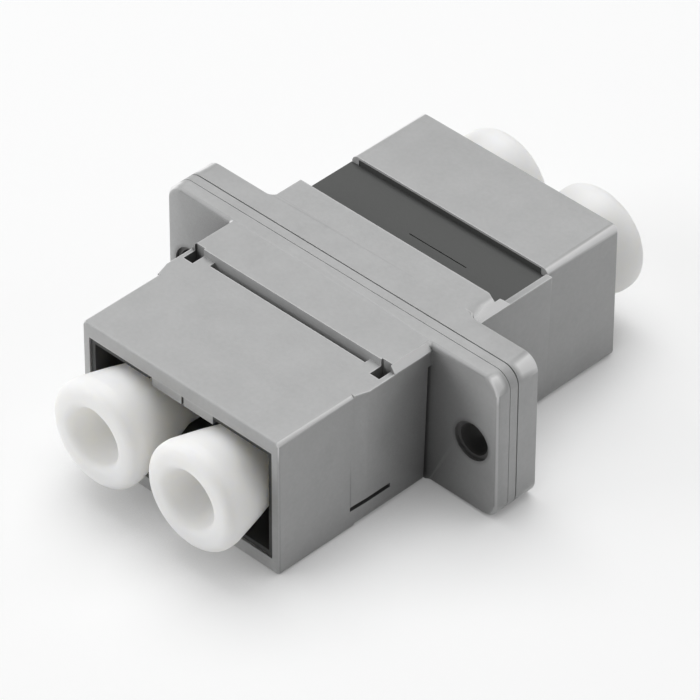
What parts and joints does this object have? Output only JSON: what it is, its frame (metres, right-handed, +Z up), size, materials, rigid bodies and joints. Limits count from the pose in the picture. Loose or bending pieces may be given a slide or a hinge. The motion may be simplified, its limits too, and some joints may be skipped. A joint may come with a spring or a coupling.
{
  "type": "fibre optic coupler",
  "caption": "Duplex panel adapter that joins fibre plugs end to end: stepped rectangular housing, flange with screw holes, split sleeves and pull-off dust caps.",
  "frame": {"origin": "middle of the underside, on the surface it rests on", "axes": "+X across the two ports to the right seen from the front ports, +Y along the fibres from the front ports to the rear ports, +Z up"},
  "size_m": [0.0216, 0.0278, 0.0082],
  "materials": {
    "housing_grey": "fine satin moulding",
    "inner_dark": "matt moulding",
    "ceramic": "ground and polished ceramic",
    "cap_white": "soft waxy moulding"
  },
  "bodies": {
    "coupler": {"front_housing": "housing_grey", "rear_housing": "housing_grey", "centre_plate": "housing_grey", "front_inner_body": "inner_dark", "rear_inner_body": "inner_dark", "left_alignment_sleeve": "ceramic", "right_alignment_sleeve": "ceramic"},
    "front_left_cap": {"front_left_dust_cap": "cap_white"},
    "front_right_cap": {"front_right_dust_cap": "cap_white"},
    "rear_left_cap": {"rear_left_dust_cap": "cap_white"},
    "rear_right_cap": {"rear_right_dust_cap": "cap_white"}
  },
  "joints": [
    {"name": "front_left_cap_slide", "type": "slide", "parent": "coupler", "child": "front_left_cap", "axis": [0, -1, 0], "range_m": [0, 0.01]},
    {"name": "front_right_cap_slide", "type": "slide", "parent": "coupler", "child": "front_right_cap", "axis": [0, -1, 0], "range_m": [0, 0.01]},
    {"name": "rear_left_cap_slide", "type": "slide", "parent": "coupler", "child": "rear_left_cap", "axis": [0, 1, 0], "range_m": [0, 0.01]},
    {"name": "rear_right_cap_slide", "type": "slide", "parent": "coupler", "child": "rear_right_cap", "axis": [0, 1, 0], "range_m": [0, 0.01]}
  ]
}
